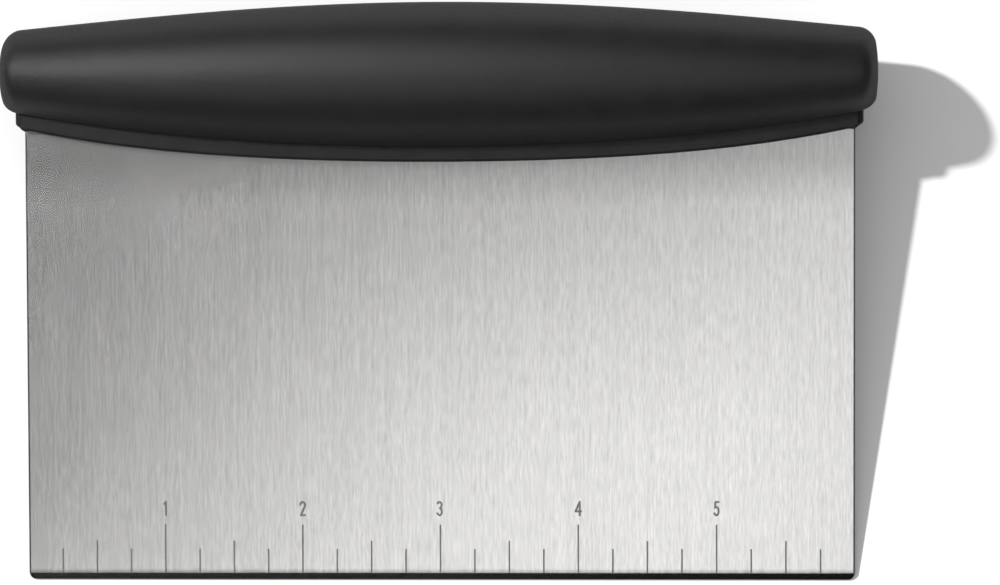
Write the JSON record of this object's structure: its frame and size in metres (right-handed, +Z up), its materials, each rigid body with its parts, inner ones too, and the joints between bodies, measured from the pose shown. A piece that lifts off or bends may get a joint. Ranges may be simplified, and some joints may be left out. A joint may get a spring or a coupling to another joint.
{
  "type": "bench scraper",
  "caption": "Wide stainless bench scraper for cutting and lifting dough, with an inch scale along its bevelled edge and a soft barrel-shaped grip over a two-part core.",
  "frame": {"origin": "bottom centre of the bounding box, on the table the scraper lies on", "axes": "+X along the cutting edge, +Y from the cutting edge towards the handle, +Z up from the table; the marked face of the blade looks up"},
  "size_m": [0.1606, 0.1054, 0.026],
  "materials": {
    "stainless_steel": "vertically brushed, with grey etched scale marks",
    "core_plastic": "fine matt moulded texture",
    "soft_grip": "smooth soft-touch, satin"
  },
  "bodies": {
    "root": {"blade": "stainless_steel", "core_front_shell": "core_plastic", "core_rear_shell": "core_plastic", "grip_sleeve": "soft_grip"}
  },
  "joints": []
}
